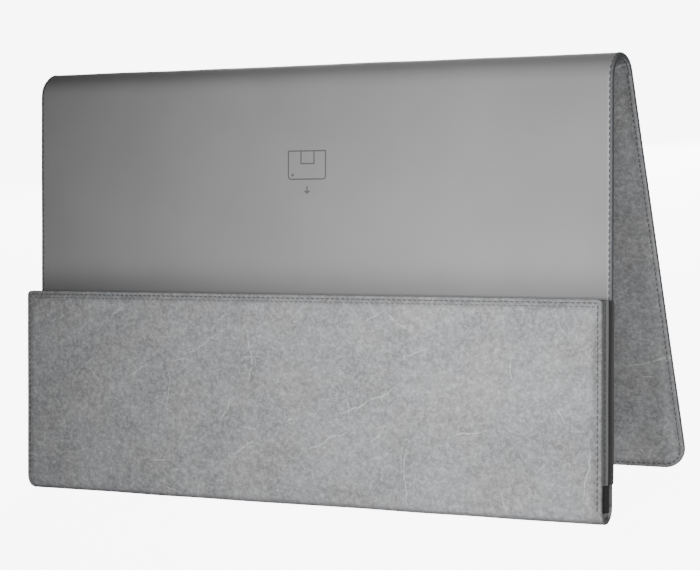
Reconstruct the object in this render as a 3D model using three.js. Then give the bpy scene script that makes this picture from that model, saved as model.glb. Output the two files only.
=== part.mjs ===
// A fold-over sleeve for a 12.4-inch tablet, standing open as a tent.
// One long two-layer strip makes the pocket, the main panel, the rounded top fold and the
// full-length flap. A bellows gusset closes each side of the pocket.
// Millimetres. +X runs along the width, +Y towards the back, +Z up. The origin is on the
// ground, at the middle of the footprint.

import * as THREE from 'three';

// ---- Driving dimensions --------------------------------------------------------------

const WIDTH = 300; // the strip, side to side
const PANEL_LENGTH = 183; // main panel, bottom fold's centre to the start of the top fold
const POCKET_HEIGHT = 89.5; // bottom fold's centre to the pocket's mouth
const POCKET_DEPTH = 11.6; // main lining's face to the pocket's outer face
const TOP_FOLD_RADIUS = 12.6; // to the lining, which is outside on this fold
const FRONT_LEAN = THREE.MathUtils.degToRad(8.7); // main panel, back from upright
const FLAP_LEAN = THREE.MathUtils.degToRad(13.4); // flap, forward from upright
const FLAP_CORNER_RADIUS = 11;

const SKIN = 0.7; // grained outer leather
const LINING = 0.6; // smooth inner face
const BOARD = 0.9; // stiffener between them
const LAYER_GAP = 0.1; // glue line between layers
const BUTT_GAP = 0.3; // between pieces that meet end to end
const SHEET = SKIN + LAYER_GAP + BOARD + LAYER_GAP + LINING;

const FOLD_STRIPS = 2; // rigid strips that stand for the flexible top fold
const STRIP_GAP = 1.6; // lets neighbouring strips turn either way
const BOTTOM_GAP_ANGLE = THREE.MathUtils.degToRad(2); // each side of the pocket's hinge line
const BOTTOM_FACETS = 10; // in each quarter of the bottom fold
const CORNER_FACETS = 8; // in each rounded corner

const BOARD_MARGIN = 3; // board to the edges of its panel
const MAGNET_RADIUS = 8;
const MAGNET_POCKET_CLEARANCE = 0.4; // round a disc, in its hole in the board
const MAGNET_SPREAD = 110; // each disc from the middle
const MAGNET_FROM_EDGE = 28; // from the flap's lower edge

const GUSSET = 0.6; // gusset cloth
const GUSSET_BOTTOM = 10; // the corner below it stays open
const GUSSET_TOP_INSET = 0.6; // below the pocket's mouth
const GUSSET_WALL_BACK = 8.6; // side wall's rear end, from the pocket's outer face
const GUSSET_DEPTH = 6.6; // how far the bellows runs in
const BELLOWS_CREST = 9.65; // innermost fold, from the pocket's outer face
const LEAF_GAP = 0.15; // between each leaf and what it lies beside
const BINDING = 0.9; // edge binding on the main panel, beside the pocket
const BINDING_OVERHANG = 1.0; // in front of the lining's face

// ---- Worked-out sizes ----------------------------------------------------------------

const MID_RADIUS = TOP_FOLD_RADIUS - SHEET / 2;
const BEND_PER_HINGE = (Math.PI - FRONT_LEAN - FLAP_LEAN) / (FOLD_STRIPS + 1);
const STRIP_LENGTH = 2 * MID_RADIUS * Math.tan(BEND_PER_HINGE / 2);
const SKIN_FACE = SHEET; // height of each face above the lining's face
const SKIN_BACK = SHEET - SKIN;
const BOARD_BACK = LINING + LAYER_GAP;
const GUSSET_TOP = POCKET_HEIGHT - GUSSET_TOP_INSET;

// The bottom fold is half round. Its centre lies midway between the two layers.
const BOTTOM_RADIUS = (POCKET_DEPTH + SHEET) / 2;
const BOTTOM_CENTRE = SHEET - BOTTOM_RADIUS;

// Points and directions in the side view, as { y, z }. An angle is measured back from
// straight up, in the sense in which the sheet runs over the top fold.
const along = (angle, length) => ({ y: Math.sin(angle) * length, z: Math.cos(angle) * length });
const across = (angle, length) => ({ y: Math.cos(angle) * length, z: -Math.sin(angle) * length });
const plus = (...points) => ({
  y: points.reduce((sum, p) => sum + p.y, 0),
  z: points.reduce((sum, p) => sum + p.z, 0),
});

// Measured from the main lining's face, level with the bottom fold's centre.
const FLAP_ANGLE = Math.PI - FLAP_LEAN;
const bottomCentre = across(FRONT_LEAN, BOTTOM_CENTRE);
const topCentre = plus(along(FRONT_LEAN, PANEL_LENGTH), across(FRONT_LEAN, TOP_FOLD_RADIUS));
const floor = bottomCentre.z - BOTTOM_RADIUS;
const flapStart = plus(topCentre, across(FLAP_ANGLE, -TOP_FOLD_RADIUS));
const flapSkinStart = plus(flapStart, across(FLAP_ANGLE, SHEET));
// The flap is as long as it takes to stand on the same floor as the bottom fold.
const FLAP_LENGTH = (flapSkinStart.z - floor) / Math.cos(FLAP_LEAN);
const flapEnd = plus(flapStart, along(FLAP_ANGLE, FLAP_LENGTH));
const middleY = (bottomCentre.y - BOTTOM_RADIUS + flapEnd.y) / 2;

// ---- Materials -----------------------------------------------------------------------

const material = (color, roughness, metalness = 0) =>
  new THREE.MeshStandardMaterial({ color, roughness, metalness });

const skinLeather = material(0xa3a4a6, 0.75);
const liningLeather = material(0x939495, 0.5);
const gussetCloth = material(0x7b7c7e, 0.85);
const stiffener = material(0x4d4d4d, 0.8);
const magnetNickel = material(0xb9bdc3, 0.3, 1);
const keeperSteel = material(0x8d9298, 0.4, 1);

// ---- Shape helpers -------------------------------------------------------------------

const named = (name, geometry, finish) => {
  const mesh = new THREE.Mesh(geometry, finish);
  mesh.name = name;
  return mesh;
};

// A flat layer of the sheet. Its outline is drawn in X and Z, and it fills y0 to y1.
const layer = (shape, y0, y1) => {
  const geometry = new THREE.ExtrudeGeometry(shape, {
    depth: y1 - y0,
    bevelEnabled: false,
    curveSegments: CORNER_FACETS,
  });
  geometry.applyMatrix4(
    new THREE.Matrix4().makeBasis(
      new THREE.Vector3(1, 0, 0),
      new THREE.Vector3(0, 0, 1),
      new THREE.Vector3(0, -1, 0),
    ),
  );
  geometry.translate(0, y1, 0);
  return geometry;
};

// A section drawn in Y and Z, running the sheet's width along X.
const fullWidth = (shape) => {
  const geometry = new THREE.ExtrudeGeometry(shape, { depth: WIDTH, bevelEnabled: false });
  geometry.applyMatrix4(
    new THREE.Matrix4().makeBasis(
      new THREE.Vector3(0, 1, 0),
      new THREE.Vector3(0, 0, 1),
      new THREE.Vector3(1, 0, 0),
    ),
  );
  geometry.translate(-WIDTH / 2, 0, 0);
  return geometry;
};

// A section drawn in X and Y, running up along Z from z0 to z1.
const upright = (points, z0, z1) => {
  const shape = new THREE.Shape(points.map(([x, y]) => new THREE.Vector2(x, y)));
  const geometry = new THREE.ExtrudeGeometry(shape, { depth: z1 - z0, bevelEnabled: false });
  geometry.translate(0, 0, z0);
  return geometry;
};

// A rectangle from z0 to z1, with its corners at z1 rounded if a radius is given.
const outline = (width, z0, z1, radius = 0) => {
  const side = width / 2;
  const shape = new THREE.Shape();
  shape.moveTo(-side, z0);
  shape.lineTo(side, z0);
  if (radius > 0) {
    shape.absarc(side - radius, z1 - radius, radius, 0, Math.PI / 2, false);
    shape.absarc(-side + radius, z1 - radius, radius, Math.PI / 2, Math.PI, false);
  } else {
    shape.lineTo(side, z1);
    shape.lineTo(-side, z1);
  }
  return shape;
};

const pairOfHoles = (shape, z) => {
  for (const side of [-1, 1]) {
    const hole = new THREE.Path();
    hole.absarc(side * MAGNET_SPREAD, z, MAGNET_RADIUS + MAGNET_POCKET_CLEARANCE, 0, 2 * Math.PI);
    shape.holes.push(hole);
  }
  return shape;
};

const disc = (side, z) => {
  const shape = new THREE.Shape();
  shape.absarc(side * MAGNET_SPREAD, z, MAGNET_RADIUS, 0, 2 * Math.PI);
  return layer(shape, BOARD_BACK, BOARD_BACK + BOARD);
};

// ---- Main panel ----------------------------------------------------------------------

// One quarter of the bottom fold, between two radii. The rear quarter runs down from the
// main panel; the front quarter is the same shape on the pocket's side of the hinge line.
const bottomQuarter = (outer, inner, isFront) => {
  const first = isFront ? -Math.PI / 2 - BOTTOM_GAP_ANGLE : -BUTT_GAP / 2 / outer;
  const last = isFront ? -Math.PI + BUTT_GAP / 2 / outer : -Math.PI / 2 + BOTTOM_GAP_ANGLE;
  const arc = (radius) =>
    Array.from({ length: BOTTOM_FACETS + 1 }, (_, i) => {
      const angle = THREE.MathUtils.lerp(first, last, i / BOTTOM_FACETS);
      return new THREE.Vector2(
        BOTTOM_CENTRE + radius * Math.cos(angle),
        radius * Math.sin(angle),
      );
    });
  return fullWidth(new THREE.Shape([...arc(outer), ...arc(inner).reverse()]));
};

// Where the stiffener stops, the skin's foam backing fills the sheet up to the lining.
const skinRadius = BOTTOM_RADIUS;
const foamRadius = BOTTOM_RADIUS - SHEET + LINING + LAYER_GAP;
const liningRadius = foamRadius - LAYER_GAP;
const boreRadius = liningRadius - LINING;

const panelTop = PANEL_LENGTH + STRIP_LENGTH / 2 - STRIP_GAP / 2;

const mainPanel = new THREE.Group();
mainPanel.add(
  named(
    'skin_main_panel',
    layer(outline(WIDTH, BUTT_GAP / 2, panelTop), SKIN_BACK, SKIN_FACE),
    skinLeather,
  ),
  named(
    'board_main_panel',
    layer(
      outline(WIDTH - 2 * BOARD_MARGIN, BOARD_MARGIN, PANEL_LENGTH - BOARD_MARGIN),
      BOARD_BACK,
      BOARD_BACK + BOARD,
    ),
    stiffener,
  ),
  named('lining_main_panel', layer(outline(WIDTH, BUTT_GAP / 2, panelTop), 0, LINING), liningLeather),
  named('skin_bottom_fold_rear', bottomQuarter(skinRadius, foamRadius, false), skinLeather),
  named('lining_bottom_fold_rear', bottomQuarter(liningRadius, boreRadius, false), liningLeather),
);

// ---- Pocket --------------------------------------------------------------------------

// The pocket's front is the same sheet turned back up, so its lining faces the panel's.
const pocketLayer = (shape, depth0, depth1) =>
  layer(shape, depth0 - POCKET_DEPTH, depth1 - POCKET_DEPTH);
const boardDepth = SKIN + LAYER_GAP;
const liningDepth = SHEET - LINING;
const keeperZ = PANEL_LENGTH - FLAP_LENGTH + MAGNET_FROM_EDGE;

const pocket = new THREE.Group();
pocket.add(
  named(
    'skin_pocket_front',
    pocketLayer(outline(WIDTH, BUTT_GAP / 2, POCKET_HEIGHT), 0, SKIN),
    skinLeather,
  ),
  named(
    'board_pocket_front',
    pocketLayer(
      pairOfHoles(
        outline(WIDTH - 2 * BOARD_MARGIN, BOARD_MARGIN, POCKET_HEIGHT - BOARD_MARGIN),
        keeperZ,
      ),
      boardDepth,
      boardDepth + BOARD,
    ),
    stiffener,
  ),
  named(
    'lining_pocket_front',
    pocketLayer(outline(WIDTH, BUTT_GAP / 2, POCKET_HEIGHT), liningDepth, SHEET),
    liningLeather,
  ),
  named('skin_bottom_fold_front', bottomQuarter(skinRadius, foamRadius, true), skinLeather),
  named('lining_bottom_fold_front', bottomQuarter(liningRadius, boreRadius, true), liningLeather),
);

for (const [side, hand] of [[-1, 'left'], [1, 'right']]) {
  const keeper = disc(side, keeperZ);
  keeper.translate(0, boardDepth - BOARD_BACK - POCKET_DEPTH, 0);
  pocket.add(named(`keeper_plate_${hand}`, keeper, keeperSteel));
}

// ---- Gussets -------------------------------------------------------------------------

// Each gusset is one strip of cloth: a side wall behind the pocket's edge, then a bellows
// of two leaves folded in between the layers, and a binding round the main panel's edge.
// The wall and the front leaf go with the pocket; the rear leaf and binding with the panel.
for (const [side, hand] of [[-1, 'left'], [1, 'right']]) {
  const edge = WIDTH / 2;
  const at = (inset, depth) => [side * (edge - inset), depth - POCKET_DEPTH];
  const strip = (...corners) => {
    const points = corners.map(([inset, depth]) => at(inset, depth));
    return upright(side > 0 ? points : points.reverse(), GUSSET_BOTTOM, GUSSET_TOP);
  };
  const wallFront = SHEET + BUTT_GAP;
  const mouth = GUSSET_WALL_BACK - GUSSET; // front leaf's outer end
  const rearMouth = POCKET_DEPTH - BUTT_GAP;

  pocket.add(
    named(
      `gusset_wall_${hand}`,
      strip(
        [0, wallFront],
        [0, GUSSET_WALL_BACK],
        [GUSSET, GUSSET_WALL_BACK],
        [GUSSET, wallFront],
      ),
      gussetCloth,
    ),
    named(
      `gusset_front_leaf_${hand}`,
      strip(
        [GUSSET + LEAF_GAP, mouth],
        [GUSSET + LEAF_GAP, GUSSET_WALL_BACK],
        [GUSSET_DEPTH, BELLOWS_CREST - LEAF_GAP],
        [GUSSET_DEPTH, BELLOWS_CREST - LEAF_GAP - GUSSET],
      ),
      gussetCloth,
    ),
  );
  mainPanel.add(
    named(
      `gusset_rear_leaf_${hand}`,
      strip(
        [GUSSET_DEPTH, BELLOWS_CREST + LEAF_GAP],
        [GUSSET_DEPTH, BELLOWS_CREST + LEAF_GAP + GUSSET],
        [LEAF_GAP, rearMouth],
        [LEAF_GAP, rearMouth - GUSSET],
      ),
      gussetCloth,
    ),
    named(
      `gusset_binding_${hand}`,
      strip(
        [-BINDING - LEAF_GAP, POCKET_DEPTH - BINDING_OVERHANG],
        [-BINDING - LEAF_GAP, POCKET_DEPTH + SHEET - LAYER_GAP],
        [-LEAF_GAP, POCKET_DEPTH + SHEET - LAYER_GAP],
        [-LEAF_GAP, POCKET_DEPTH - BINDING_OVERHANG],
      ),
      gussetCloth,
    ),
  );
}

// ---- Top fold ------------------------------------------------------------------------

const sleeve = new THREE.Group();

// The fold's strips follow one another round the middle of the sheet, each turned by the
// same angle from the last. Neighbours meet on a hinge line in the middle of the sheet.
let angle = FRONT_LEAN;
let hinge = plus(
  along(FRONT_LEAN, PANEL_LENGTH + STRIP_LENGTH / 2),
  across(FRONT_LEAN, SHEET / 2),
);
for (let number = 1; number <= FOLD_STRIPS; number += 1) {
  angle += BEND_PER_HINGE;
  const shape = outline(WIDTH, STRIP_GAP / 2, STRIP_LENGTH - STRIP_GAP / 2);
  const strip = new THREE.Group();
  strip.add(
    named(`skin_top_fold_${number}`, layer(shape, BOARD_BACK, SKIN_FACE), skinLeather),
    named(`lining_top_fold_${number}`, layer(shape, 0, LINING), liningLeather),
  );
  const start = plus(hinge, across(angle, -SHEET / 2));
  strip.position.set(0, start.y, start.z);
  strip.rotation.x = -angle;
  sleeve.add(strip);
  hinge = plus(hinge, along(angle, STRIP_LENGTH));
}

// ---- Flap ----------------------------------------------------------------------------

const flapTop = STRIP_GAP / 2 - STRIP_LENGTH / 2;
const flapOutline = () => outline(WIDTH, flapTop, FLAP_LENGTH, FLAP_CORNER_RADIUS);
const magnetZ = FLAP_LENGTH - MAGNET_FROM_EDGE;

const flap = new THREE.Group();
flap.add(
  named('skin_flap', layer(flapOutline(), SKIN_BACK, SKIN_FACE), skinLeather),
  named(
    'board_flap',
    layer(
      pairOfHoles(
        outline(
          WIDTH - 2 * BOARD_MARGIN,
          BOARD_MARGIN,
          FLAP_LENGTH - BOARD_MARGIN,
          FLAP_CORNER_RADIUS - BOARD_MARGIN,
        ),
        magnetZ,
      ),
      BOARD_BACK,
      BOARD_BACK + BOARD,
    ),
    stiffener,
  ),
  named('lining_flap', layer(flapOutline(), 0, LINING), liningLeather),
  named('magnet_left', disc(-1, magnetZ), magnetNickel),
  named('magnet_right', disc(1, magnetZ), magnetNickel),
);
flap.position.set(0, flapStart.y, flapStart.z);
flap.rotation.x = -FLAP_ANGLE;

// ---- Whole sleeve --------------------------------------------------------------------

mainPanel.rotation.x = -FRONT_LEAN;
pocket.rotation.x = -FRONT_LEAN;
sleeve.add(mainPanel, pocket, flap);
sleeve.position.set(0, -middleY, -floor);

const tabletCase = new THREE.Group();
tabletCase.add(sleeve);

export default tabletCase;
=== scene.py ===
"""A fold-over tablet sleeve standing open as a tent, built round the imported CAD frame.

The sleeve is one long two-layer strip: pocket front, bottom fold, main panel, top fold and
flap. A point of the strip is given in millimetres: x across it, v along it from the pocket's
mouth, and y, the height above the lining's face.
"""

import math

import bmesh
import bpy
import numpy as np
from mathutils import Matrix, Vector


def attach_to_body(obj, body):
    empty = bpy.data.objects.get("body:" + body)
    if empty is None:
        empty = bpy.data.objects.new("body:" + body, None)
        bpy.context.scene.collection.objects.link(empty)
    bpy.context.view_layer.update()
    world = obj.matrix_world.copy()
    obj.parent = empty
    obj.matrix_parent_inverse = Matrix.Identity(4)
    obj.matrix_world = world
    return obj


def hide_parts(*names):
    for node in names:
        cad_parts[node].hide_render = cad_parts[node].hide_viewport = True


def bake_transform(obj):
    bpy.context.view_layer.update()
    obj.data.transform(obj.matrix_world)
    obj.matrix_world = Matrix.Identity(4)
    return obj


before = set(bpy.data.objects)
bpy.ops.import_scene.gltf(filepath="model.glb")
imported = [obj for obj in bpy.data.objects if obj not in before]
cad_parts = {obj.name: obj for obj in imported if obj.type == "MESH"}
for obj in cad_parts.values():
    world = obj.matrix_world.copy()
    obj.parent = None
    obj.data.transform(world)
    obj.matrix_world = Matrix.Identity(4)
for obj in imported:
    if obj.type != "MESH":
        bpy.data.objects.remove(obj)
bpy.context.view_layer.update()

# ---- The CAD part's dimensions, in millimetres ----------------------------------------

WIDTH = 300.0
HALF = WIDTH / 2
PANEL_LENGTH = 183.0
POCKET_HEIGHT = 89.5
POCKET_DEPTH = 11.6
TOP_FOLD_RADIUS = 12.6
FRONT_LEAN = math.radians(8.7)
FLAP_LEAN = math.radians(13.4)
FLAP_ANGLE = math.pi - FLAP_LEAN
FLAP_CORNER_RADIUS = 11.0
SHEET = 2.4
SKIN_BACK = 1.7
LINING_BACK = 0.6
FOLD_ZONES = 3
GUSSET_BOTTOM = 10.0
MOUTH_DROP = 0.6  # from the pocket's mouth to the gussets' top
GUSSET_TOP = POCKET_HEIGHT - MOUTH_DROP
BOTTOM_RADIUS = (POCKET_DEPTH + SHEET) / 2
BOTTOM_CENTRE = SHEET - BOTTOM_RADIUS

# ---- Finish of the sheet's edges and seams --------------------------------------------

EDGE_ROUND = 0.6
GROOVE_DEPTH = 0.2
GROOVE_WIDTH = 0.42
STITCH_PITCH = 2.6
STITCH_LENGTH = 1.95
THREAD_RADIUS = 0.29
THREAD_SINK = 0.04
# How far in from the edge each row of stitches runs.
SIDE_SEAM = 1.15
POCKET_SEAM = 1.5
FLAP_SEAM = 1.9
HEM_SEAM = 3.1
MOUTH_CORNER_RADIUS = 2.0
SMALLEST_CORNER = 0.8

# Distances in from an edge at which a sheet's mesh has lines, closest where it is most shaped.
OFFSETS = [0, 0.04, 0.15, 0.33, 0.6, 0.9, 1.15, 1.4, 1.7, 2.0, 2.3, 2.6, 2.9, 3.2, 3.55, 4.0, 5.0, 6.6]
COLUMNS = 76  # across the strip, between its edges' lines
CORNER_HALF = 5  # columns in half a rounded corner
ROW_STEP = 3.6
BOTTOM_ROWS = 40
ZONE_ROWS = 26
END_ROW = 0.02  # height of a strip's first and last row, as a share of the others
EDGE_STEPS = 30  # along a straight edge or a straight row of stitches


def along(angle, length):
    """A step in the side view's (y, z), up a panel that leans back by the angle."""
    return np.stack([np.sin(angle) * length, np.cos(angle) * length], -1)


def across(angle, length):
    """A step in the side view's (y, z), square to that panel from its lining to its skin."""
    return np.stack([np.cos(angle) * length, -np.sin(angle) * length], -1)


bottom_centre = across(FRONT_LEAN, BOTTOM_CENTRE)
floor_level = bottom_centre[1] - BOTTOM_RADIUS
top_centre = along(FRONT_LEAN, PANEL_LENGTH) + across(FRONT_LEAN, TOP_FOLD_RADIUS)
flap_start = top_centre + across(FLAP_ANGLE, -TOP_FOLD_RADIUS)
flap_length = ((flap_start + across(FLAP_ANGLE, SHEET))[1] - floor_level) / math.cos(FLAP_LEAN)
flap_end = flap_start + along(FLAP_ANGLE, flap_length)
middle_y = (bottom_centre[0] - BOTTOM_RADIUS + flap_end[0]) / 2

BOTTOM_LENGTH = math.pi * (BOTTOM_RADIUS - SHEET / 2)
FOLD_TURN = math.pi - FRONT_LEAN - FLAP_LEAN
FOLD_MIX = 0.8  # how far the fold's bend is drawn towards its hinge lines


def to_row(x, side):
    """Metres in the row frame, from x and the side view's (y, z) in millimetres."""
    side = np.asarray(side, float)
    x = np.broadcast_to(np.asarray(x, float), side.shape[:-1])
    return np.stack([x, side[..., 0] - middle_y, side[..., 1] - floor_level], -1) / 1000


def fold_table():
    """The top fold's middle surface: arc length, bend and place, and the length of a zone.

    In each of its zones the bend gathers at the hinge line, as the blended poses do.
    """
    steps = 400
    t = np.linspace(0, FOLD_ZONES, FOLD_ZONES * steps + 1)
    whole = np.minimum(np.floor(t), FOLD_ZONES - 1)
    u = t - whole
    eased = (1 - FOLD_MIX) * u + FOLD_MIX * u * u * (3 - 2 * u)
    turn = (whole + eased) * FOLD_TURN / FOLD_ZONES
    heading = along(FRONT_LEAN + turn, 1.0)
    path = np.vstack([[0, 0], np.cumsum((heading[1:] + heading[:-1]) / 2, 0)]) / steps
    start = along(FRONT_LEAN, PANEL_LENGTH) + across(FRONT_LEAN, SHEET / 2)
    end = flap_start + across(FLAP_ANGLE, SHEET / 2)
    zone = np.linalg.norm(end - start) / np.linalg.norm(path[-1])
    return t * zone, turn, start + path * zone, zone


fold_arc, fold_bend, fold_path, ZONE_LENGTH = fold_table()
FOLD_LENGTH = ZONE_LENGTH * FOLD_ZONES

# Where each section begins along the whole strip, measured from the pocket's mouth.
BOTTOM_BEGINS = POCKET_HEIGHT
PANEL_BEGINS = BOTTOM_BEGINS + BOTTOM_LENGTH
FOLD_BEGINS = PANEL_BEGINS + PANEL_LENGTH
FLAP_BEGINS = FOLD_BEGINS + FOLD_LENGTH


# ---- Places on the strip, by its length v from the pocket's mouth -----------------------


def wave(x, v):
    """The sheet's slight unevenness, in millimetres."""
    return (
        0.07 * np.sin(x / 23.0 + 0.6 * np.sin(v / 37.0)) * np.sin(v / 29.0 + 1.1)
        + 0.05 * np.sin(x / 11.0 - v / 17.0 + 2.0)
        + 0.03 * np.sin(x / 7.3 + v / 8.1)
    )


def pocket_at(x, v, y):
    depth = BOTTOM_CENTRE - (BOTTOM_RADIUS - SHEET + y)
    return to_row(x, across(FRONT_LEAN, depth) + along(FRONT_LEAN, POCKET_HEIGHT - v))


def bottom_at(x, v, y):
    turn = math.pi * (1 - (v - BOTTOM_BEGINS) / BOTTOM_LENGTH)
    radius = BOTTOM_RADIUS - SHEET + y
    inside = np.clip(turn, 0, math.pi)
    beyond = (turn - inside) * BOTTOM_LENGTH / math.pi
    rise = np.where(turn > math.pi, beyond, -beyond)
    return to_row(
        x,
        across(FRONT_LEAN, BOTTOM_CENTRE + radius * np.cos(inside))
        + along(FRONT_LEAN, rise - radius * np.sin(inside)),
    )


def panel_at(x, v, y):
    return to_row(x, along(FRONT_LEAN, v - PANEL_BEGINS) + across(FRONT_LEAN, y))


def fold_at(x, v, y):
    arc = np.asarray(v - FOLD_BEGINS, float)
    inside = np.clip(arc, 0, FOLD_LENGTH)
    angle = FRONT_LEAN + np.interp(inside, fold_arc, fold_bend)
    middle = np.stack([np.interp(inside, fold_arc, fold_path[:, k]) for k in (0, 1)], -1)
    return to_row(x, middle + along(angle, arc - inside) + across(angle, y - SHEET / 2))


def flap_at(x, v, y):
    return to_row(x, flap_start + along(FLAP_ANGLE, v - FLAP_BEGINS) + across(FLAP_ANGLE, y))


# ---- Flat plans of the sections ---------------------------------------------------------


class Plan:
    """A flat mesh of x, v and the distance in from the nearest edge, with its rim's loop."""

    def __init__(self, points, quads, rim):
        points = np.array(points, float)
        self.x, self.v, self.inset = points[:, 0], points[:, 1], points[:, 2]
        self.quads, self.rim = quads, rim


def strip_plan(v0, v1, rows):
    """A section open at both ends, from v0 to v1."""
    inner = np.linspace(-HALF + OFFSETS[-1], HALF - OFFSETS[-1], COLUMNS + 1)[1:-1]
    xs = [-HALF + o for o in OFFSETS] + list(inner) + [HALF - o for o in reversed(OFFSETS)]
    # The end rows lie close together, so that the shading runs on into the next section.
    close = END_ROW * (v1 - v0) / rows
    vs = [v0, v0 + close]
    vs += [v0 + (v1 - v0) * k / rows for k in range(1, rows)]
    vs += [v1 - close, v1]
    n = len(xs)
    points = [(x, v, HALF - abs(x)) for v in vs for x in xs]
    quads = [
        (r * n + c, r * n + c + 1, (r + 1) * n + c + 1, (r + 1) * n + c)
        for r in range(len(vs) - 1)
        for c in range(n - 1)
    ]
    last = len(vs) - 1
    rim = list(range(n)) + [r * n + n - 1 for r in range(1, last + 1)]
    rim += [last * n + c for c in range(n - 2, -1, -1)] + [r * n for r in range(last - 1, 0, -1)]
    return Plan(points, quads, rim)


def u_outline(length, radius, offset, rows, base):
    """From the open end down the left side, along the base and up the right side."""
    reach = max(radius - offset, SMALLEST_CORNER)
    held = offset + reach
    corner = [
        (-HALF + held - reach * math.cos(a), length - held + reach * math.sin(a))
        for a in np.linspace(0, math.pi / 2, 2 * CORNER_HALF + 1)
    ]
    left = [(-HALF + offset, (length - held) * i / rows) for i in range(rows)]
    span = HALF - held
    across_base = [(-span + 2 * span * i / base, length - offset) for i in range(1, base)]
    turned = [(-x, s) for x, s in reversed(left + corner)]
    return left + corner + across_base + turned


def u_plan(length, radius, v_of):
    """A section open at one end, with an edge on its three other sides."""
    rows = round(length / ROW_STEP)
    base = COLUMNS - 2 * CORNER_HALF
    rings = [u_outline(length, radius, o, rows, base) for o in OFFSETS]
    count = len(rings[0])
    points = [(x, v_of(s), o) for o, ring in zip(OFFSETS, rings) for x, s in ring]
    quads = [
        (j * count + i, j * count + i + 1, (j + 1) * count + i + 1, (j + 1) * count + i)
        for j in range(len(OFFSETS) - 1)
        for i in range(count - 1)
    ]
    first = (len(OFFSETS) - 1) * count
    deep = rows + CORNER_HALF
    ring = np.array(rings[-1])
    left, right = ring[: deep + 1], ring[::-1][: deep + 1]
    bottom = ring[deep : count - deep]
    top = np.linspace(left[0], right[0], COLUMNS + 1)
    index = np.zeros((deep + 1, COLUMNS + 1), int)
    for r in range(deep + 1):
        for c in range(COLUMNS + 1):
            if c == 0:
                index[r, c] = first + r
            elif c == COLUMNS:
                index[r, c] = first + count - 1 - r
            elif r == deep:
                index[r, c] = first + deep + c
            else:
                a, b = c / COLUMNS, r / deep
                corners = (
                    (1 - a) * (1 - b) * left[0]
                    + a * (1 - b) * right[0]
                    + (1 - a) * b * left[-1]
                    + a * b * right[-1]
                )
                x, s = (
                    (1 - b) * top[c] + b * bottom[c] + (1 - a) * left[r] + a * right[r] - corners
                )
                index[r, c] = len(points)
                points.append((x, v_of(s), min(HALF - abs(x), length - s)))
    quads += [
        (index[r, c], index[r, c + 1], index[r + 1, c + 1], index[r + 1, c])
        for r in range(deep)
        for c in range(COLUMNS)
    ]
    rim = list(range(count))
    rim += [j * count + count - 1 for j in range(1, len(OFFSETS))]
    rim += [index[0, c] for c in range(COLUMNS - 1, 0, -1)]
    rim += [j * count for j in range(len(OFFSETS) - 1, 0, -1)]
    return Plan(points, quads, rim)


# ---- Meshes -----------------------------------------------------------------------------

SHARP = math.radians(50)


def mesh_object(name, verts, faces, material, flat):
    """A smooth-shaded object, with its flat-pattern coordinates, in metres, as its UV map."""
    mesh = bpy.data.meshes.new(name)
    mesh.from_pydata([tuple(p) for p in verts], [], [tuple(map(int, f)) for f in faces])
    layer = mesh.uv_layers.new(name="Cloth")
    loops = np.zeros(len(mesh.loops), int)
    mesh.loops.foreach_get("vertex_index", loops)
    layer.data.foreach_set("uv", (np.asarray(flat, float)[loops] / 1000).ravel())
    bm = bmesh.new()
    bm.from_mesh(mesh)
    bmesh.ops.recalc_face_normals(bm, faces=bm.faces)
    bm.to_mesh(mesh)
    bm.free()
    mesh.shade_smooth()
    mesh.set_sharp_from_angle(angle=SHARP)
    mesh.materials.append(material)
    made = bpy.data.objects.new(name, mesh)
    bpy.context.scene.collection.objects.link(made)
    return made


def sheet_layer(name, plan, at, face, back, material):
    """A closed layer of the strip, from a shaped face to a plain back."""
    lift = wave(plan.x, plan.v)
    top = at(plan.x, plan.v, face(plan) + lift)
    under = at(plan.x, plan.v, back + lift)
    n = len(plan.x)
    faces = list(plan.quads) + [tuple(i + n for i in reversed(q)) for q in plan.quads]
    for a, b in zip(plan.rim, plan.rim[1:] + plan.rim[:1]):
        faces.append((b, a, a + n, b + n))
    flat = np.column_stack([plan.x + HALF, plan.v])
    return mesh_object(name, np.vstack([top, under]), faces, material, np.vstack([flat, flat]))


def rounded(inset):
    """How far the face drops towards the sheet's edge."""
    left = np.clip(EDGE_ROUND - inset, 0, EDGE_ROUND)
    return EDGE_ROUND - np.sqrt(np.maximum(EDGE_ROUND**2 - left**2, 0))


def groove(inset, seam):
    """How far a row of stitches pulls the face in."""
    return GROOVE_DEPTH * np.exp(-(((inset - seam) / GROOVE_WIDTH) ** 2))


def skin_face(seam, hemmed):
    def face(plan):
        sunk = rounded(plan.inset) + groove(plan.inset, seam)
        return SHEET - sunk - (groove(plan.v, HEM_SEAM) if hemmed else 0)

    return face


def lining_face(seam):
    return lambda plan: rounded(plan.inset) + groove(plan.inset, seam)


# The skin is turned over the sheet's edge onto the lining. The turned edge's section: how far
# out of the sheet's edge, and how high above the lining's face.
TURNED_EDGE = [
    (-0.86, 0.35),
    (-0.9, 0.02),
    (-0.82, -0.07),
    (-0.5, -0.06),
    (-0.15, 0.08),
    (0.03, 0.35),
    (0.12, 0.75),
    (0.15, 1.2),
    (0.12, 1.65),
    (0.03, 2.02),
    (-0.12, 2.24),
    (-0.4, 2.12),
    (-0.6, 1.5),
]


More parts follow.
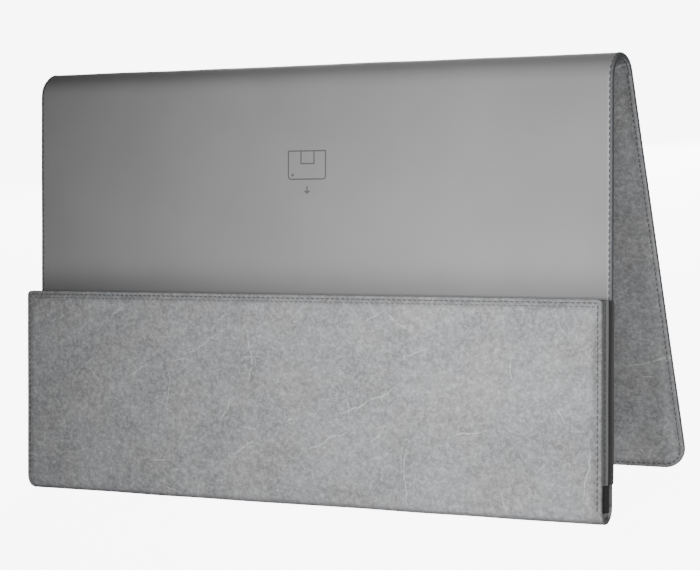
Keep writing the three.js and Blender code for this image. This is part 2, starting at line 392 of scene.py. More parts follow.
def turned_edge(name, runs, at, material):
    """The skin round the sheet's edge. A run is a list of (x, v) with outward (dx, dv)."""
    verts, faces, flat = [], [], []
    n = len(TURNED_EDGE)
    out, high = np.array(TURNED_EDGE).T
    for run in runs:
        base = len(verts)
        for (x, v), (dx, dv) in run:
            verts += list(at(x + dx * out, v + dv * out, high + wave(x, v)))
            flat += [(x + HALF + dx * o, v + dv * o) for o in out]
        for r in range(len(run) - 1):
            for c in range(n):
                a, b = base + r * n + c, base + r * n + (c + 1) % n
                faces.append((a, b, b + n, a + n))
        faces.append(tuple(base + c for c in range(n)))
        faces.append(tuple(base + (len(run) - 1) * n + c for c in reversed(range(n))))
    return mesh_object(name, verts, faces, material, flat)


def side_runs(v0, v1):
    """The two sides of a section that is open at both ends."""
    return [
        [((side * HALF, v), (side, 0)) for v in np.linspace(v0, v1, EDGE_STEPS + 1)]
        for side in (-1, 1)
    ]


def u_run(length, radius, v_of, facing):
    """The outline of a section with three edges, and the way out at each point."""
    rows = round(length / ROW_STEP)
    base = COLUMNS - 2 * CORNER_HALF
    edge = u_outline(length, radius, 0, rows, base)
    within = u_outline(length, radius, 0.5, rows, base)
    run = []
    for (x, s), (x2, s2) in zip(edge, within):
        out = Vector((x - x2, s - s2)).normalized()
        run.append(((x, v_of(s)), (out.x, out.y * facing)))
    return [run]


# ---- Stitches -----------------------------------------------------------------------------

THREAD_SIDES = 7
THREAD_SLANT = 0.1  # sideways, as a share of the stitch's length
THREAD_TWIST = 2.0  # radians from end to end
# Along each stitch: the share of its length, its height out of the groove, and its girth.
STITCH_SHAPE = [
    (-0.5, -0.34, 0.5),
    (-0.42, -0.1, 0.85),
    (-0.22, 0.05, 1.0),
    (0, 0.09, 1.02),
    (0.22, 0.05, 1.0),
    (0.42, -0.1, 0.85),
    (0.5, -0.34, 0.5),
]


def walk(path, pitch, first):
    """Points at a pitch along a path of (x, v), with the direction at each."""
    path = np.array(path, float)
    step = np.linalg.norm(np.diff(path, axis=0), axis=1)
    run = np.concatenate([[0], np.cumsum(step)])
    for t in np.arange(first, run[-1], pitch):
        k = min(np.searchsorted(run, t, side="right") - 1, len(step) - 1)
        heading = (path[k + 1] - path[k]) / step[k]
        yield path[k] + heading * (t - run[k]), heading


def stitches(name, rows, material):
    """A row is a path of (x, v), its place function, its faces' (height, way out) and where
    along the path the first stitch lies."""
    verts, faces, flat = [], [], []
    n = THREAD_SIDES
    for path, at, sides, first in rows:
        for middle, heading in walk(path, STITCH_PITCH, first):
            aside = np.array([-heading[1], heading[0]])
            for level, out in sides:
                base = len(verts)
                for share, height, girth in STITCH_SHAPE:
                    centre = middle + heading * share * STITCH_LENGTH
                    centre = centre + aside * share * THREAD_SLANT * out * STITCH_LENGTH
                    turn = np.linspace(0, 2 * math.pi, n, endpoint=False) + share * THREAD_TWIST
                    side = np.cos(turn) * THREAD_RADIUS * girth
                    high = level + out * (height + np.sin(turn) * THREAD_RADIUS * girth)
                    x = centre[0] + aside[0] * side
                    v = centre[1] + aside[1] * side
                    verts += list(at(x, v, high + wave(x, v)))
                    flat += [(a + HALF, b) for a, b in zip(x, v)]
                for r in range(len(STITCH_SHAPE) - 1):
                    for c in range(n):
                        a, b = base + r * n + c, base + r * n + (c + 1) % n
                        faces.append((a, b, b + n, a + n))
                faces.append(tuple(base + c for c in reversed(range(n))))
                faces.append(tuple(base + (len(STITCH_SHAPE) - 1) * n + c for c in range(n)))
    return mesh_object(name, verts, faces, material, flat)


# A face's height for the thread, and its way out.
SKIN_LEVEL = (SHEET - GROOVE_DEPTH + THREAD_SINK, 1)
LINING_LEVEL = (GROOVE_DEPTH - THREAD_SINK, -1)
BOTH_FACES = [SKIN_LEVEL, LINING_LEVEL]


def side_rows(v0, v1, seam, at):
    """A row down each side, with its pitch carried on from the section before."""
    first = (-v0) % STITCH_PITCH
    return [
        ([(side * (HALF - seam), v) for v in (v0, v1)], at, BOTH_FACES, first)
        for side in (-1, 1)
    ]


def outline_row(length, radius, v_of, seam, at):
    """A row round a section with three edges."""
    path = [(x, v_of(s)) for x, s in u_outline(length, radius, seam, EDGE_STEPS, COLUMNS)]
    return (path, at, BOTH_FACES, STITCH_PITCH / 2)


# ---- Materials: all lengths in metres -------------------------------------------------------


def grey_color(value, blue=1.0):
    """A grey, tinted blue where blue is above 1."""
    return (value, value * (1 + (blue - 1) * 0.4), value * blue)


SKIN_DARK_WARM = grey_color(0.162, 1.01)
SKIN_DARK_COOL = grey_color(0.158, 1.07)
SKIN_LIGHT_WARM = grey_color(0.43, 1.01)
SKIN_LIGHT_COOL = grey_color(0.42, 1.07)
SKIN_MARK = grey_color(0.6, 1.04)
MARK_SHARE = 0.7

# The skin's grain, from its clouds down: each noise's scale, detail, roughness and distortion,
# the span of it that counts, and its share of the tone.
SKIN_GRAIN = {
    "clouds": ((38, 3, 0.55, 0.4), (0.32, 0.68), 0.16),
    "mottle": ((230, 3, 0.6, 0.6), (0.36, 0.68), 0.24),
    "flecks": ((560, 3, 0.62, 0.5), (0.4, 0.7), 0.4),
    "fine": ((1200, 2, 0.6), (0.34, 0.7), 0.2),
}
SKIN_FIBRE = (1500, 2, 0.6)
FIBRE_STRETCH, FIBRE_TURN = (1, 0.35, 1), 0.6
SKIN_TINT = (31, 3, 0.6)

LINING_DARK = grey_color(0.235)
LINING_LIGHT = grey_color(0.26)

# Layers of pale scratches: cells to the metre, a scratch's length and width, the share of
# cells that hold one, and its lean and the lean's spread, in radians.
SCRATCHES = [
    (15, 0.05, 0.0006, 0.4, 0.25, 0.5),
    (27, 0.03, 0.00045, 0.2, 0.2, 0.7),
    (22, 0.036, 0.00045, 0.2, 1.45, 0.5),
    (50, 0.014, 0.0004, 0.25, -0.3, 2.6),
]
SCRATCH_BEND = 0.011

# Painted shade: the colour and its share, and how far it stays full and where it ends. It darkens the
# seams' grooves, the bottom fold's underside and the lining above the pocket's mouth.
SEAM_DARK, SEAM_SHARE, SEAM_FULL, SEAM_END = (0.06, 0.06, 0.06), 0.32, 0.0004, 0.0034
SEAM_INSET = 0.0018  # middle of the seams' dark line, from the strip's outline
# Painted shade under the bottom fold.
FOLD_DARK, FOLD_SHARE, FOLD_FULL, FOLD_END = (0.045, 0.045, 0.055), 0.7, 0.0022, 0.0058
# Painted shadow of the pocket on the lining above its mouth.
MOUTH_DARK, MOUTH_SHARE, MOUTH_FULL, MOUTH_END = (0.03, 0.03, 0.03), 0.3, -0.001, 0.018

GUSSET_WEAVE = 0.0021
BINDING_WEAVE = 0.0018


class Nodes:
    """A new node material, with short ways to add and join nodes."""

    def __init__(self, name):
        self.material = bpy.data.materials.new(name)
        self.material.use_nodes = True
        self.tree = self.material.node_tree
        self.shader = self.tree.nodes["Principled BSDF"]

    def add(self, kind, links=(), **values):
        node = self.tree.nodes.new(kind)
        for key, value in values.items():
            setattr(node, key, value)
        for socket, source in dict(links).items():
            if hasattr(source, "is_output"):
                self.tree.links.new(source, node.inputs[socket])
            else:
                node.inputs[socket].default_value = source
        return node

    def math(self, operation, a, b=0.5, clamp=False):
        return self.add("ShaderNodeMath", {0: a, 1: b}, operation=operation, use_clamp=clamp).outputs[0]

    def total(self, *values):
        whole = values[0]
        for value in values[1:]:
            whole = self.math("ADD", whole, value)
        return whole

    def product(self, *values):
        whole = values[0]
        for value in values[1:]:
            whole = self.math("MULTIPLY", whole, value)
        return whole

    def vector(self, operation, a, b, c=(0, 0, 0)):
        return self.add("ShaderNodeVectorMath", {0: a, 1: b, 2: c}, operation=operation).outputs[0]

    def noise(self, vector, scale, detail=4.0, roughness=0.55, distortion=0.0):
        links = {
            "Vector": vector,
            "Scale": scale,
            "Detail": detail,
            "Roughness": roughness,
            "Distortion": distortion,
        }
        return self.add("ShaderNodeTexNoise", links).outputs["Fac"]

    def span(self, value, low, high, to_low=0.0, to_high=1.0, smooth=True):
        links = {0: value, 1: low, 2: high, 3: to_low, 4: to_high}
        kind = "SMOOTHSTEP" if smooth else "LINEAR"
        return self.add("ShaderNodeMapRange", links, interpolation_type=kind).outputs[0]

    def flat_cloth(self, scale=(1, 1, 1), turn=0.0):
        """The place on the flat strip: u across it, and v along it from the pocket's mouth."""
        where = self.add("ShaderNodeUVMap", uv_map="Cloth").outputs[0]
        return self.add("ShaderNodeMapping", {0: where, 2: (0, 0, turn), 3: scale}).outputs[0]

    def across_and_along(self):
        return self.add("ShaderNodeSeparateXYZ", {0: self.flat_cloth()}).outputs[:2]

    def in_place(self, scale=(1, 1, 1)):
        where = self.add("ShaderNodeTexCoord").outputs["Object"]
        return self.add("ShaderNodeMapping", {0: where, 3: scale}).outputs[0]

    def blend(self, value, under, over):
        links = {0: value, 6: under, 7: (*over, 1)}
        return self.add("ShaderNodeMix", links, data_type="RGBA").outputs[2]

    def grey(self, value, dark, light):
        """A colour from dark to light, as the value goes from 0 to 1."""
        return self.blend(value, (*dark, 1), light)

    def finish(self, color, roughness, bump=None, strength=0.3, distance=0.0002, **fixed):
        self.tree.links.new(color, self.shader.inputs["Base Color"])
        if hasattr(roughness, "is_output"):
            self.tree.links.new(roughness, self.shader.inputs["Roughness"])
        else:
            self.shader.inputs["Roughness"].default_value = roughness
        if bump is not None:
            links = {"Height": bump, "Strength": strength, "Distance": distance}
            node = self.add("ShaderNodeBump", links)
            self.tree.links.new(node.outputs[0], self.shader.inputs["Normal"])
        for socket, value in fixed.items():
            self.shader.inputs[socket.replace("_", " ")].default_value = value
        return self.material


def scratches(m, cells, length, width, share, lean, spread):
    """Short pale lines, a little wavy: a cell of a scattered pattern holds one, or none."""
    plane = m.flat_cloth()
    bend = m.add("ShaderNodeTexNoise", {"Vector": plane, "Scale": 55.0, "Detail": 3.0})
    bent = m.vector("MULTIPLY_ADD", bend.outputs["Color"], (SCRATCH_BEND, SCRATCH_BEND, 0), plane)
    cell = m.add("ShaderNodeTexVoronoi", {"Vector": bent, "Scale": cells})
    chance = m.add("ShaderNodeSeparateColor", {0: cell.outputs["Color"]}).outputs
    turn = m.span(chance[0], 0, 1, lean - spread / 2, lean + spread / 2, smooth=False)
    offset = m.vector("SUBTRACT", bent, cell.outputs["Position"])
    turned = m.add("ShaderNodeVectorRotate", {"Vector": offset, "Angle": turn}, rotation_type="Z_AXIS")
    run, aside, _ = m.add("ShaderNodeSeparateXYZ", {0: turned.outputs[0]}).outputs
    # Half the scratch's length: each is from 0.4 of the full length up to all of it.
    reach = m.span(chance[1], 0, 1, length * 0.2, length * 0.5, smooth=False)
    near = m.span(m.math("ABSOLUTE", run), m.math("MULTIPLY", reach, 0.3), reach, 1, 0)
    thin = m.span(m.math("ABSOLUTE", aside), 0.0, width, 1, 0)
    broken = m.span(m.noise(plane, 500, 2), 0.36, 0.56, 0.3, 1)
    shown = m.math("GREATER_THAN", chance[2], 1 - share)
    return m.product(near, thin, broken, shown)


def painted_seam_shade(m):
    """1 along the seams of the strip's outline, falling to 0 either side: where the shade in the seams'
    grooves is painted.
    """
    u, v = m.across_and_along()
    whole_length = (FLAP_BEGINS + flap_length) / 1000
    shades = []
    for place, end in ((u, WIDTH / 1000), (v, whole_length)):
        inset = m.math("MINIMUM", place, m.math("SUBTRACT", end, place))
        off_seam = m.math("ABSOLUTE", m.math("SUBTRACT", inset, SEAM_INSET))
        shades.append(m.span(off_seam, SEAM_FULL, SEAM_END, 1, 0))
    return m.math("MAXIMUM", *shades)


def painted_fold_shade(m):
    """1 along the underside of the bottom fold, falling to 0 either side: where the shade under the
    fold is painted.
    """
    _, v = m.across_and_along()
    middle = (BOTTOM_BEGINS + BOTTOM_LENGTH / 2) / 1000
    away = m.math("ABSOLUTE", m.math("SUBTRACT", v, middle))
    return m.span(away, FOLD_FULL, FOLD_END, 1, 0)


def nubuck():
    """The skin: clouds, mottles and flecks of warm and cool grey, with pale scratches."""
    m = Nodes("nubuck_skin")
    plane = m.flat_cloth()
    grain = {name: m.noise(plane, *noise) for name, (noise, _, _) in SKIN_GRAIN.items()}
    fibre = m.noise(m.flat_cloth(FIBRE_STRETCH, FIBRE_TURN), *SKIN_FIBRE)
    tone = m.total(
        *(
            m.math("MULTIPLY", m.span(grain[name], *counted), share)
            for name, (_, counted, share) in SKIN_GRAIN.items()
        )
    )
    marks = m.total(*(scratches(m, *layer) for layer in SCRATCHES))
    warm = m.grey(tone, SKIN_DARK_WARM, SKIN_LIGHT_WARM)
    cool = m.grey(tone, SKIN_DARK_COOL, SKIN_LIGHT_COOL)
    tint = m.span(m.noise(plane, *SKIN_TINT), 0.4, 0.6)
    base = m.add("ShaderNodeMix", {0: tint, 6: warm, 7: cool}, data_type="RGBA").outputs[2]
    base = m.blend(m.math("MULTIPLY", marks, MARK_SHARE, clamp=True), base, SKIN_MARK)
    # Painted shade in the grooves along the seams, where the skin curves away from the light.
    base = m.blend(m.math("MULTIPLY", painted_seam_shade(m), SEAM_SHARE), base, SEAM_DARK)
    # Painted shade along the underside of the bottom fold.
    color = m.blend(m.math("MULTIPLY", painted_fold_shade(m), FOLD_SHARE), base, FOLD_DARK)
    height = m.total(
        grain["flecks"],
        m.math("MULTIPLY", grain["fine"], 0.6),
        m.math("MULTIPLY", fibre, 0.5),
        m.math("MULTIPLY", marks, -0.4),
    )
    rough = m.span(grain["mottle"], 0.3, 0.7, 0.9, 0.78)
    soft = {"Specular_IOR_Level": 0.35, "Sheen_Weight": 0.12, "Sheen_Roughness": 0.5}
    return m.finish(color, rough, height, strength=0.35, distance=0.0003, **soft)


def painted_mouth_shadow(m):
    """1 on the main panel up to the pocket's mouth, fading above it: where the pocket's shadow on the
    lining is painted.
    """
    _, v = m.across_and_along()
    mouth = (PANEL_BEGINS + POCKET_HEIGHT) / 1000
    on_panel = m.math("GREATER_THAN", v, PANEL_BEGINS / 1000)
    return m.product(on_panel, m.span(v, mouth + MOUTH_FULL, mouth + MOUTH_END, 1, 0))


def satin_lining():
    """The lining: even and smooth, with fine pores."""
    m = Nodes("satin_lining")
    plane = m.flat_cloth()
    grain = m.noise(plane, 2300, 2, 0.55)
    cells = {"Vector": plane, "Scale": 1400}
    pores = m.add("ShaderNodeTexVoronoi", cells, feature="DISTANCE_TO_EDGE").outputs[0]
    cloud = m.noise(plane, 24, 3, 0.5)
    clouded = m.math("MULTIPLY", m.span(cloud, 0.3, 0.7), 0.7)
    tone = m.math("ADD", clouded, m.math("MULTIPLY", grain, 0.3))
    base = m.grey(tone, LINING_DARK, LINING_LIGHT)
    # Painted shadow of the pocket on the lining, fading above its mouth.
    color = m.blend(m.math("MULTIPLY", painted_mouth_shadow(m), MOUTH_SHARE), base, MOUTH_DARK)
    height = m.math("ADD", m.math("MULTIPLY", grain, 0.6), m.span(pores, 0, 0.25, 0, 0.4))
    rough = m.span(cloud, 0.3, 0.7, 0.5, 0.44)
    return m.finish(color, rough, height, strength=0.12, distance=0.0001, Specular_IOR_Level=0.45)


def woven(name, dark, light, pitch):
    """A matt cloth of crossed yarns."""
    m = Nodes(name)
    plane = m.flat_cloth()
    yarn = {"Vector": plane, "Scale": 1 / pitch, "Distortion": 0.4, "Detail": 1.0}
    bands = [m.add("ShaderNodeTexWave", yarn, bands_direction=way).outputs["Fac"] for way in "XY"]
    weave = m.math("MULTIPLY", *bands)
    cloud = m.noise(plane, 160, 4, 0.6)
    tone = m.math("ADD", m.math("MULTIPLY", weave, 0.6), m.math("MULTIPLY", cloud, 0.4))
    color = m.grey(tone, dark, light)
    return m.finish(color, 0.9, weave, strength=0.4, distance=0.0002, Sheen_Weight=0.2)


def thread(name, dark, light):
    """Twisted sewing thread, with its plies on the slant."""
    m = Nodes(name)
    twist = {"Vector": m.flat_cloth(), "Scale": 900.0, "Distortion": 0.3}
    ply = m.add("ShaderNodeTexWave", twist, bands_direction="DIAGONAL").outputs["Fac"]
    color = m.grey(ply, dark, light)
    return m.finish(color, 0.7, ply, strength=0.5, distance=0.0001, Sheen_Weight=0.1)


def speckled(name, dark, light, scale, rough, metal=0.0, stretch=(1, 1, 1)):
    """A finish with a fine grain in place, stretched where the part is brushed."""
    m = Nodes(name)
    where = m.in_place(stretch)
    grain = m.noise(where, scale, 4, 0.6)
    tone = m.span(grain, 0.3, 0.7)
    spread = m.span(grain, 0.3, 0.7, rough - 0.06, rough + 0.06)
    color = m.grey(tone, dark, light)
    return m.finish(color, spread, grain, strength=0.1, distance=0.0001, Metallic=metal)


skin = nubuck()
lining = satin_lining()
wall_cloth = woven("wall_cloth", grey_color(0.1), grey_color(0.18), GUSSET_WEAVE)
# The bellows cloth is near black: painted shade for the inside of the pocket's open corners.
bellows_painted_shade_cloth = woven("bellows_painted_shade_cloth", grey_color(0.02), grey_color(0.04), GUSSET_WEAVE)
# Dark binding cloth, made darker still: painted shade for the valley behind the gusset's ridge.
binding_cloth = woven("binding_cloth", grey_color(0.03), grey_color(0.055), BINDING_WEAVE)
sewing = thread("sewing_thread", grey_color(0.05, 1.05), grey_color(0.1, 1.05))
hem_sewing = thread("hem_thread", grey_color(0.1, 1.03), grey_color(0.17, 1.03))
edge_coat = speckled("edge_coat", grey_color(0.085, 1.1), grey_color(0.125, 1.1), 700, 0.75)
ink = speckled("printed_ink", grey_color(0.075), grey_color(0.095), 900, 0.6)
fibreboard = speckled("fibreboard", grey_color(0.06), grey_color(0.11), 400, 0.85)
nickel = speckled("nickel_plate", grey_color(0.6), grey_color(0.68), 1200, 0.28, 1.0)
brushed = speckled("brushed_steel", grey_color(0.42), grey_color(0.55), 300, 0.38, 1.0, (1, 1, 14))

# The hard pieces keep their CAD shapes.
HARD_FINISHES = {"board": fibreboard, "magnet": nickel, "keeper": brushed}
for node_name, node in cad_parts.items():
    finish = HARD_FINISHES.get(node_name.split("_")[0])
    if finish:
        node.data.materials.clear()
        node.data.materials.append(finish)

# ---- The strip -----------------------------------------------------------------------------

# The two sections with three edges: length, corner radius, and v at a distance from the open end.
POCKET_OUTLINE = (POCKET_HEIGHT, MOUTH_CORNER_RADIUS, lambda s: POCKET_HEIGHT - s)
FLAP_OUTLINE = (flap_length, FLAP_CORNER_RADIUS, lambda s: FLAP_BEGINS + s)

pocket_plan = u_plan(*POCKET_OUTLINE)
bottom_plan = strip_plan(BOTTOM_BEGINS, PANEL_BEGINS, BOTTOM_ROWS)
panel_plan = strip_plan(PANEL_BEGINS, FOLD_BEGINS, round(PANEL_LENGTH / ROW_STEP))
flap_plan = u_plan(*FLAP_OUTLINE)


def zone_ends(k):
    return FOLD_BEGINS + k * ZONE_LENGTH, FOLD_BEGINS + (k + 1) * ZONE_LENGTH


# Name, plan, place, seam, whether it has the hem's row, and its body or the two bodies it lies between.
sections = [
    ("pocket", pocket_plan, pocket_at, POCKET_SEAM, True, "pocket_front"),
    ("bottom_fold", bottom_plan, bottom_at, POCKET_SEAM, False, ("pocket_front", "main_panel")),
    ("main_panel", panel_plan, panel_at, SIDE_SEAM, False, "main_panel"),
]
FOLD_CHAIN = ["main_panel", "fold_strip_1", "fold_strip_2", "flap"]
for k in range(FOLD_ZONES):
    plan = strip_plan(*zone_ends(k), ZONE_ROWS)
    between = tuple(FOLD_CHAIN[k : k + 2])
    sections.append((f"top_fold_{k + 1}", plan, fold_at, SIDE_SEAM, False, between))
sections.append(("flap", flap_plan, flap_at, FLAP_SEAM, False, "flap"))

# The CAD nodes that each section stands for, less "skin_" or "lining_".
CAD_NAMES = {
    "pocket": ["pocket_front"],
    "bottom_fold": ["bottom_fold_front", "bottom_fold_rear"],
    "main_panel": ["main_panel"],
    "top_fold_1": ["top_fold_1"],
    "top_fold_2": [],
    "top_fold_3": ["top_fold_2"],
    "flap": ["flap"],
}


def attach(piece, moves):
    """Rides the piece on its body, or, given two bodies, bakes it in place."""
    if isinstance(moves, str):
        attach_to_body(piece, moves)
    else:
        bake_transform(piece)


edge_runs = {"pocket": u_run(*POCKET_OUTLINE, -1), "flap": u_run(*FLAP_OUTLINE, 1)}

for name, plan, at, seam, hemmed, moves in sections:
    outer = sheet_layer(f"skin_{name}_shaped", plan, at, skin_face(seam, hemmed), SKIN_BACK, skin)
    inner = sheet_layer(f"lining_{name}_shaped", plan, at, lining_face(seam), LINING_BACK, lining)
    v0, v1 = plan.v.min(), plan.v.max()
    runs = edge_runs.get(name) or side_runs(v0, v1)
    in_skin = name in ("pocket", "bottom_fold")
    turned = turned_edge(f"turned_edge_{name}", runs, at, skin if in_skin else edge_coat)
    attach(outer, moves)
    attach(inner, moves)
    attach(turned, moves)
    for cad in CAD_NAMES[name]:
        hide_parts(f"skin_{cad}")
        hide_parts(f"lining_{cad}")

    rows = []
    if name == "pocket":
        rows = [outline_row(*POCKET_OUTLINE, seam, at)]
        hem_end = HALF - seam - STITCH_PITCH / 2
        hem_row = ([(-hem_end, HEM_SEAM), (hem_end, HEM_SEAM)], at, [SKIN_LEVEL], STITCH_PITCH)
        attach(stitches("stitches_pocket_hem", [hem_row], hem_sewing), moves)
    elif name == "flap":
        rows = [outline_row(*FLAP_OUTLINE, seam, at)]
    elif name != "bottom_fold":
        rows = side_rows(v0, v1, seam, at)
    if rows:
        attach(stitches(f"stitches_{name}", rows, sewing), moves)

# ---- Gussets --------------------------------------------------------------------------------

CLOTH_THICKNESS = 0.55
CUT_END = 0.72  # the cloth's thickness at its cut ends, as a share
CRUMPLE = 0.05  # how far the cloth waves, and how fast up the gusset and along its line
CRUMPLE_UP, CRUMPLE_ALONG = 1 / 9, 0.8
FACE_SHIFT, SIDE_SHIFT = 40, 90  # part the faces and the sides on the weave's pattern
GUSSET_ROWS = 24
# The bellows run down below the gusset's bottom, a dark sheet that stands in for the shade in the
# pocket's open corners.
BELLOWS_BOTTOM = -2.2
# Middle of the cloth, as (in from the strip's edge, back from the pocket's outer face), and the
# number of points along each line's curve.
WALL_POINTS, BELLOWS_POINTS, BINDING_POINTS = 46, 52, 40
WALL_LINE = [
    (0.42, 2.2),
    (0.42, 3.4),
    (0.5, 4.4),
    (0.68, 5.2),
    (0.5, 5.9),
    (0.0, 6.5),
    (-0.3, 7.0),
    (-0.25, 7.45),
    (0.2, 7.9),
    (0.9, 8.3),
]
BELLOWS_LINE = [
    (0.9, 8.3),
    (2.2, 8.75),
    (4.2, 9.1),
    (5.9, 9.35),
    (6.35, 9.65),
    (5.9, 9.95),
    (4.2, 10.25),
    (2.2, 10.65),
    (0.9, 11.0),
    (0.45, 11.25),
]
BINDING_LINE = [
    (0.8, 11.35),
    (0.35, 11.2),
    (-0.1, 11.4),
    (-0.36, 11.95),
    (-0.42, 12.7),
    (-0.38, 13.5),
    (-0.15, 14.15),
    (0.3, 14.3),
    (0.9, 14.28),
]
WALL_SEAM_DEPTH = 5.2
WALL_LEVEL = (-0.26, 1)
WALL_SEAM_END = 1.0  # from the gusset's top and bottom
WALL_FIRST_STITCH = 0.9


def smooth_line(points, count):
    """A Catmull-Rom curve through the points."""
    p = np.array([points[0], *points, points[-1]], float)
    out = []
    for t in np.linspace(0, len(points) - 1, count):
        k = min(int(t), len(points) - 2)
        u = t - k
        a, b, c, d = p[k : k + 4]
        square, cube = 2 * a - 5 * b + 4 * c - d, 3 * b - a - 3 * c + d
        out.append(0.5 * (2 * b + (c - a) * u + square * u**2 + cube * u**3))
    return np.array(out)


def gusset_at(side, inset, depth, rise):
    """In from the strip's edge, back from the pocket's outer face, and up the gusset."""
    return to_row(
        side * (HALF - inset),
        across(FRONT_LEAN, depth - POCKET_DEPTH) + along(FRONT_LEAN, rise),
    )


def cloth_band(name, side, line, count, material, low=GUSSET_BOTTOM):
    """A band of cloth that follows a line in plan and runs up the gusset."""
    middle = smooth_line(line, count)
    tangent = np.gradient(middle, axis=0)
    tangent /= np.linalg.norm(tangent, axis=1)[:, None]
    normal = np.column_stack([-tangent[:, 1], tangent[:, 0]])
    arc = np.concatenate([[0], np.cumsum(np.linalg.norm(np.diff(middle, axis=0), axis=1))])
    rises = np.linspace(low, GUSSET_TOP, GUSSET_ROWS + 1)
    verts, flat, faces = [], [], []
    loop = 2 * count
    for r, rise in enumerate(rises):
        for way in (1, -1):
            order = range(count) if way > 0 else range(count - 1, -1, -1)
            for i in order:
                share = 1.0 if 0 < r < GUSSET_ROWS and 0 < i < count - 1 else CUT_END
                shift = CRUMPLE * math.sin(rise * CRUMPLE_UP + arc[i] * CRUMPLE_ALONG + side)
                q = middle[i] + normal[i] * (way * CLOTH_THICKNESS / 2 * share + shift)
                verts.append(gusset_at(side, q[0], q[1], rise))
                flat.append((arc[i] + way * FACE_SHIFT + side * SIDE_SHIFT, rise))
    for r in range(GUSSET_ROWS):
        for c in range(loop):
            a, b = r * loop + c, r * loop + (c + 1) % loop
            faces.append((a, b, b + loop, a + loop))
    for base in (0, GUSSET_ROWS * loop):
        for i in range(count - 1):
            faces.append((base + i, base + i + 1, base + loop - 2 - i, base + loop - 1 - i))
    return mesh_object(name, np.array(verts), faces, material, flat)


for side, hand in ((-1, "left"), (1, "right")):
    wall = cloth_band(f"gusset_wall_{hand}_cloth", side, WALL_LINE, WALL_POINTS, wall_cloth)
    bellows = cloth_band(
        f"gusset_bellows_{hand}", side, BELLOWS_LINE, BELLOWS_POINTS, bellows_painted_shade_cloth, BELLOWS_BOTTOM
    )
    binding = cloth_band(
        f"gusset_binding_{hand}_cloth", side, BINDING_LINE, BINDING_POINTS, binding_cloth
    )
    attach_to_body(wall, "pocket_front")
    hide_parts(f"gusset_wall_{hand}")
    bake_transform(bellows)
    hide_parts(f"gusset_front_leaf_{hand}", f"gusset_rear_leaf_{hand}")
    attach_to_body(binding, "main_panel")
    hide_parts(f"gusset_binding_{hand}")

    def wall_place(x, v, y, side=side):
        """The side wall's outer face: x is the depth from the pocket's face, v the height."""
        return gusset_at(side, -y, x, v)

    path = [
        (WALL_SEAM_DEPTH, GUSSET_BOTTOM + WALL_SEAM_END),
        (WALL_SEAM_DEPTH, GUSSET_TOP - WALL_SEAM_END),
    ]
    row = (path, wall_place, [WALL_LEVEL], WALL_FIRST_STITCH)
    seam = stitches(f"stitches_gusset_{hand}", [row], sewing)
    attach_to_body(seam, "pocket_front")

# ---- The printed symbol: a tablet going into the pocket, with an arrow -----------------------

INK_WIDTH = 0.62
INK_HEIGHT = 0.05
INK_SINK = 0.03
BOX = (-9.6, 9.95, 142.45, 155.4)  # x from and to, rise from and to
BOX_CORNER = 1.4
TAB = (-2.95, 3.92, 149.6)  # x from and to, and its lower side's rise
DOT_X, DOT_RISE, DOT_RADIUS, DOT_WIDTH, DOT_POINTS = -7.4, 144.4, 0.34, 0.6, 14
ARROW_X, ARROW_TOP, ARROW_TIP, ARROW_HALF, ARROW_HEAD = 0.24, 139.3, 136.0, 1.3, 1.1
SHAFT_SHORT = 0.3  # the arrow's shaft stops this short of its tip


def ink_ribbon(points, closed, width):
    """A flat raised line on the lining, mitred at its corners: vertices and faces."""
    p = [Vector(q) for q in points]
    n = len(p)
    rows = []
    for i in range(n):
        back = p[i] - p[i - 1] if i or closed else p[1] - p[0]
        on = p[(i + 1) % n] - p[i] if i < n - 1 or closed else p[i] - p[i - 1]
        a, b = back.normalized(), on.normalized()
        left = Vector((-a.y - b.y, a.x + b.x)).normalized()
        spread = width / 2 / max(0.5, left.dot(Vector((-a.y, a.x))))
        rows.append((p[i] + left * spread, p[i] - left * spread))
    verts, faces = [], []
    for q0, q1 in rows:
        for q, y in ((q0, INK_SINK), (q0, -INK_HEIGHT), (q1, -INK_HEIGHT), (q1, INK_SINK)):
            verts.append((q.x, q.y, y))
    count = n if closed else n - 1
    for r in range(count):
        for c in range(4):
            a, b = r * 4 + c, r * 4 + (c + 1) % 4
            a2, b2 = (a + 4) % (4 * n), (b + 4) % (4 * n)
            faces.append((a, b, b2, a2))
    if not closed:
        faces += [(0, 1, 2, 3), tuple(4 * (n - 1) + c for c in (3, 2, 1, 0))]
    return verts, faces


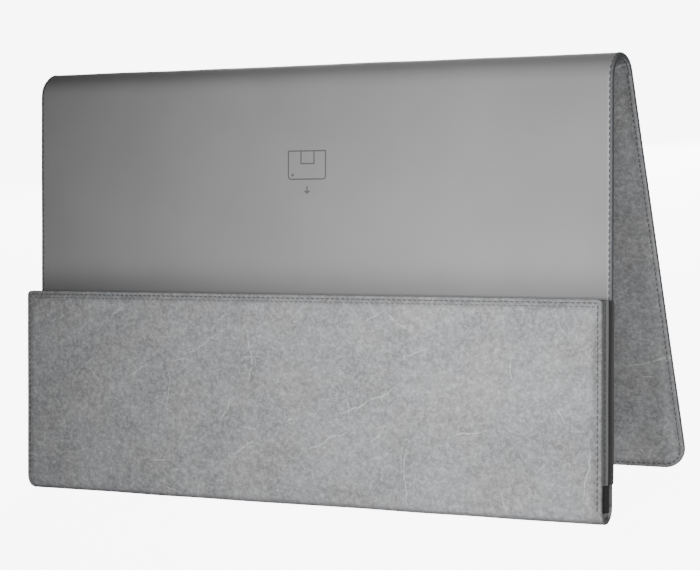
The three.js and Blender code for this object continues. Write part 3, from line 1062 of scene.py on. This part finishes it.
def symbol():
    left, right, low, high = BOX
    corner = [
        (BOX_CORNER * (1 - math.cos(a)), BOX_CORNER * (1 - math.sin(a)))
        for a in (k * math.pi / 8 for k in range(5))
    ]
    outline = [(left, high)]
    outline += [(left + x, low + s) for x, s in corner]
    outline += [(right - s, low + x) for x, s in corner]
    outline += [(right, high)]
    tab_left, tab_right, tab_low = TAB
    tab = [(tab_left, high), (tab_left, tab_low), (tab_right, tab_low), (tab_right, high)]
    circle = [
        (DOT_X + DOT_RADIUS * math.cos(a), DOT_RISE + DOT_RADIUS * math.sin(a))
        for a in np.linspace(0, 2 * math.pi, DOT_POINTS, endpoint=False)
    ]
    shaft = [(ARROW_X, ARROW_TOP), (ARROW_X, ARROW_TIP + SHAFT_SHORT)]
    head = [
        (ARROW_X - ARROW_HALF, ARROW_TIP + ARROW_HEAD),
        (ARROW_X, ARROW_TIP),
        (ARROW_X + ARROW_HALF, ARROW_TIP + ARROW_HEAD),
    ]
    lines = [
        (outline, True, INK_WIDTH),
        (tab, False, INK_WIDTH),
        (circle, True, DOT_WIDTH),
        (shaft, False, INK_WIDTH),
        (head, False, INK_WIDTH),
    ]
    verts, faces = [], []
    for points, closed, width in lines:
        more, sides = ink_ribbon(points, closed, width)
        faces += [tuple(i + len(verts) for i in f) for f in sides]
        verts += more
    verts = np.array(verts)
    v = verts[:, 1] + PANEL_BEGINS
    placed = panel_at(verts[:, 0], v, verts[:, 2] + wave(verts[:, 0], v))
    return mesh_object("insertion_symbol", placed, faces, ink, np.column_stack([verts[:, 0], v]))


printed = symbol()
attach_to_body(printed, "main_panel")

# ---- Floor, light and camera ------------------------------------------------------------------

WHITE = (1, 1, 1, 1)
FLOOR_SIZE = 900
FLOOR_DROP = 0.0004  # keeps the floor just clear of the case
FLOOR_DARK, FLOOR_LIGHT = (0.89, 0.89, 0.89), (0.9, 0.9, 0.9)
FLOOR_GLOW = 8.0
WORLD_GLOW = 0.02

SPOT_RADIUS = 0.16
# Name, place, target, cone in degrees and watts.
SPOTS = [
    ("front_spot", (0.16, -1.4, 0.3), (0.092, -0.03, 0.09), 17, 104),
    ("right_spot", (0.72, -1.25, 0.42), (0.03, 0, 0.09), 27, 38),
    ("side_spot", (0.95, -1.05, 0.35), (0.12, 0, 0.09), 22, 27),
]
# Name, place, target, width and height, and watts.
FILLS = [
    ("low_fill", (0.14, -0.7, -0.12), (0.05, 0, 0.1), (0.7, 0.5), 1.45),
    ("back_fill", (-0.5, 1.3, 0.5), (0, 0, 0.09), (0.9, 0.9), 14),
]

CAMERA_PLACE = (0.50484, -0.90243, 0.25472)
CAMERA_YAW, CAMERA_PITCH, CAMERA_ROLL = (math.radians(a) for a in (28.882, 8.853, 4.105))
CAMERA_LENS = 114.17
CAMERA_SENSOR = 36


def floor_paper():
    m = Nodes("floor_paper")
    grain = m.noise(m.in_place(), 3, 2)
    glow = {"Emission_Color": WHITE, "Emission_Strength": FLOOR_GLOW}
    return m.finish(m.grey(grain, FLOOR_DARK, FLOOR_LIGHT), 0.8, **glow)


def only(name, piece):
    """A collection that holds one piece, for light linking."""
    collection = bpy.data.collections.new(name)
    collection.objects.link(piece)
    return collection


def aimed_light(kind, name, place, target, power):
    data = bpy.data.lights.new(name, kind)
    data.energy = power
    light = bpy.data.objects.new(name, data)
    light.location = place
    light.rotation_euler = (Vector(target) - Vector(place)).to_track_quat("-Z", "Y").to_euler()
    bpy.context.scene.collection.objects.link(light)
    return light


# The floor glows, for a bright plain sheet of paper, and its glow lights only itself.
bpy.ops.mesh.primitive_plane_add(size=FLOOR_SIZE, location=(0, 0, -FLOOR_DROP))
floor = bpy.context.object
floor.name = "floor"
floor.data.materials.append(floor_paper())
floor.light_linking.receiver_collection = only("stage_only", floor)

# Soft spots that are brightest on the right of the case, with a fill low in front of it and
# another behind.
for name, place, target, cone, power in SPOTS:
    spot = aimed_light("SPOT", name, place, target, power)
    spot.data.shadow_soft_size = SPOT_RADIUS
    spot.data.spot_size = math.radians(cone)
    spot.data.spot_blend = 1.0
fills = {}
for name, place, target, size, power in FILLS:
    fills[name] = aimed_light("AREA", name, place, target, power)
    fills[name].data.shape = "RECTANGLE"
    fills[name].data.size, fills[name].data.size_y = size

# The low fill shines up through the floor.
floor_only = only("floor_only", floor)
fills["low_fill"].light_linking.blocker_collection = floor_only
floor_only.collection_objects[0].light_linking.link_state = "EXCLUDE"

world = bpy.data.worlds.new("studio")
world.use_nodes = True
world.node_tree.nodes["Background"].inputs["Color"].default_value = WHITE
world.node_tree.nodes["Background"].inputs["Strength"].default_value = WORLD_GLOW
bpy.context.scene.world = world

camera_data = bpy.data.cameras.new("camera")
camera_data.lens = CAMERA_LENS
camera_data.sensor_width = CAMERA_SENSOR
camera = bpy.data.objects.new("camera", camera_data)
camera.matrix_world = (
    Matrix.Translation(CAMERA_PLACE)
    @ Matrix.Rotation(CAMERA_YAW, 4, "Z")
    @ Matrix.Rotation(math.pi / 2 - CAMERA_PITCH, 4, "X")
    @ Matrix.Rotation(-CAMERA_ROLL, 4, "Z")
)
bpy.context.scene.collection.objects.link(camera)
bpy.context.scene.camera = camera

bpy.context.view_layer.update()
